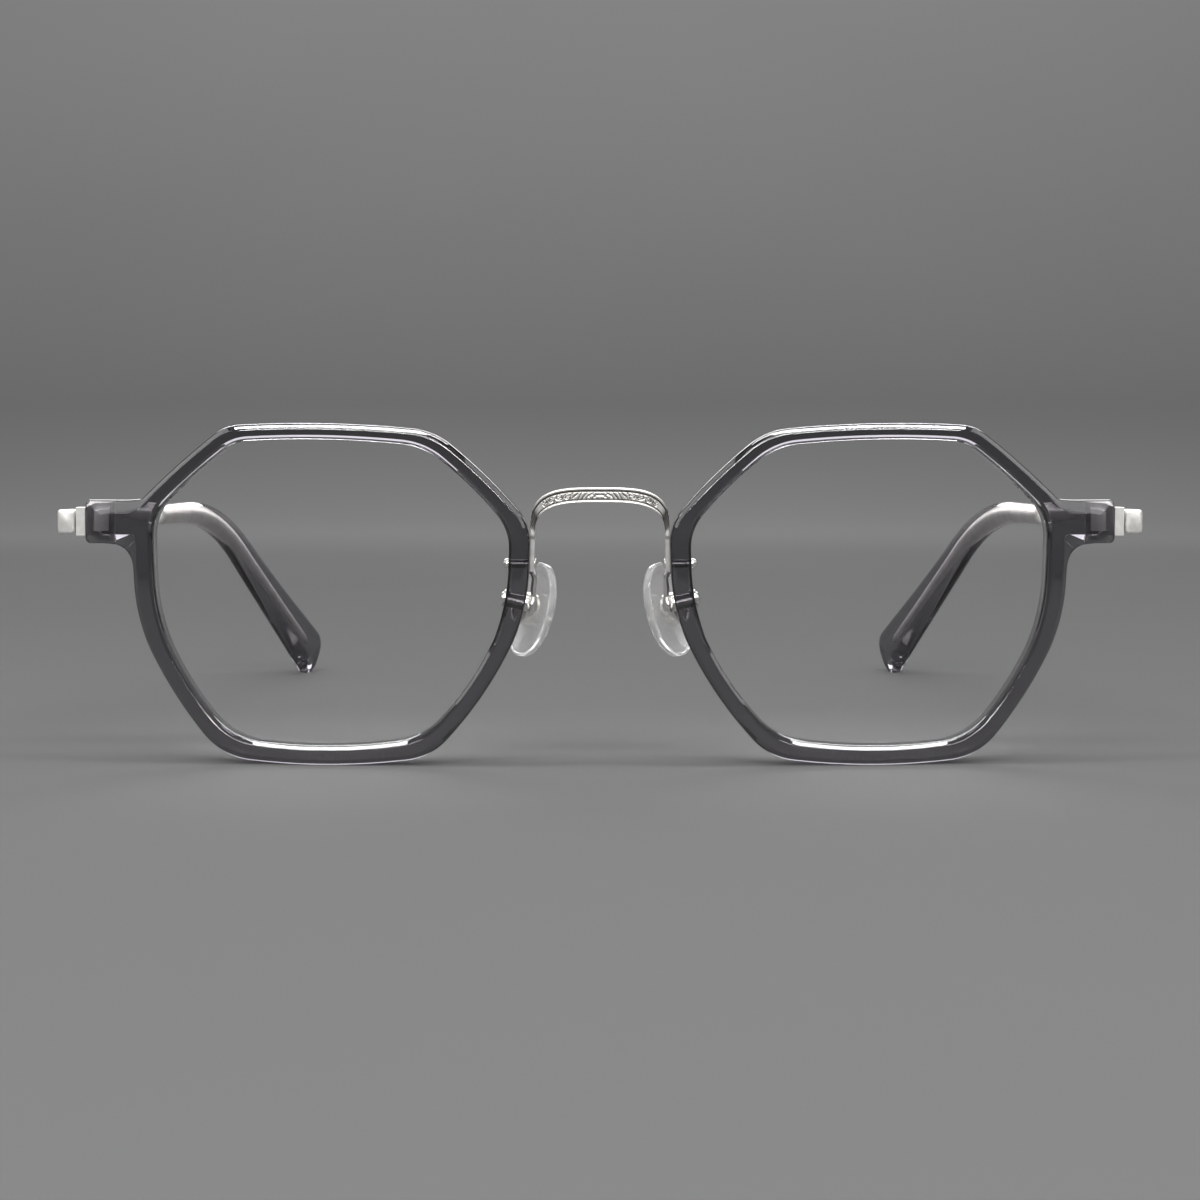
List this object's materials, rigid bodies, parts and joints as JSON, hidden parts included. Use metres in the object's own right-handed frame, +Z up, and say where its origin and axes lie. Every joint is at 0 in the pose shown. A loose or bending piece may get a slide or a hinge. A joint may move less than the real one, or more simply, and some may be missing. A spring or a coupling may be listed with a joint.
{
  "type": "eyeglasses",
  "caption": "Octagonal eyeglasses: bevelled clear-grey rims with solid end pieces, engraved arched metal bridge, rocking nose pads and slim metal temples that fold on hinges.",
  "frame": {"origin": "on the floor, under the middle of the whole object's width and length, with the temples open", "axes": "+X to the wearer's left, -Y out of the front of the lenses, +Y back along the temples, +Z up"},
  "size_m": [0.1466, 0.1374, 0.0448],
  "materials": {
    "acetate": "polished, clear smoke grey",
    "lens": "clear, polished",
    "metal": "polished warm silver, bridge bar engraved",
    "screw": "turned",
    "pad": "soft clear pad"
  },
  "bodies": {
    "front": {"rim_left": "acetate", "rim_right": "acetate", "lens_left": "lens", "lens_right": "lens", "bridge": "metal", "bridge_pins": "metal", "pad_studs": "metal", "pad_arm_left": "metal", "pad_arm_right": "metal", "pad_screws": "screw", "hinge_front_left": "metal", "hinge_front_right": "metal", "hinge_screws": "screw"},
    "temple_left": {"temple_left": "metal", "hinge_rear_left": "metal", "ferrule_left": "metal", "temple_tip_left": "acetate"},
    "temple_right": {"temple_right": "metal", "hinge_rear_right": "metal", "ferrule_right": "metal", "temple_tip_right": "acetate"},
    "pad_left": {"nose_pad_left": "pad"},
    "pad_right": {"nose_pad_right": "pad"}
  },
  "joints": [
    {"name": "temple_left_fold", "type": "hinge", "parent": "front", "child": "temple_left", "pos_m": [0.0672, -0.05672, 0.03188], "axis": [0, 0, 1], "range_deg": [0, 78]},
    {"name": "temple_right_fold", "type": "hinge", "parent": "front", "child": "temple_right", "pos_m": [-0.0672, -0.05672, 0.03188], "axis": [0, 0, -1], "range_deg": [0, 85]},
    {"name": "pad_left_rock", "type": "hinge", "parent": "front", "child": "pad_left", "pos_m": [0.0097, -0.06121, 0.02028], "axis": [0.5235, 0.8387, 0.1501], "range_deg": [-8, 8]},
    {"name": "pad_right_rock", "type": "hinge", "parent": "front", "child": "pad_right", "pos_m": [-0.0097, -0.06121, 0.02028], "axis": [-0.5235, 0.8387, 0.1501], "range_deg": [-8, 8]}
  ]
}
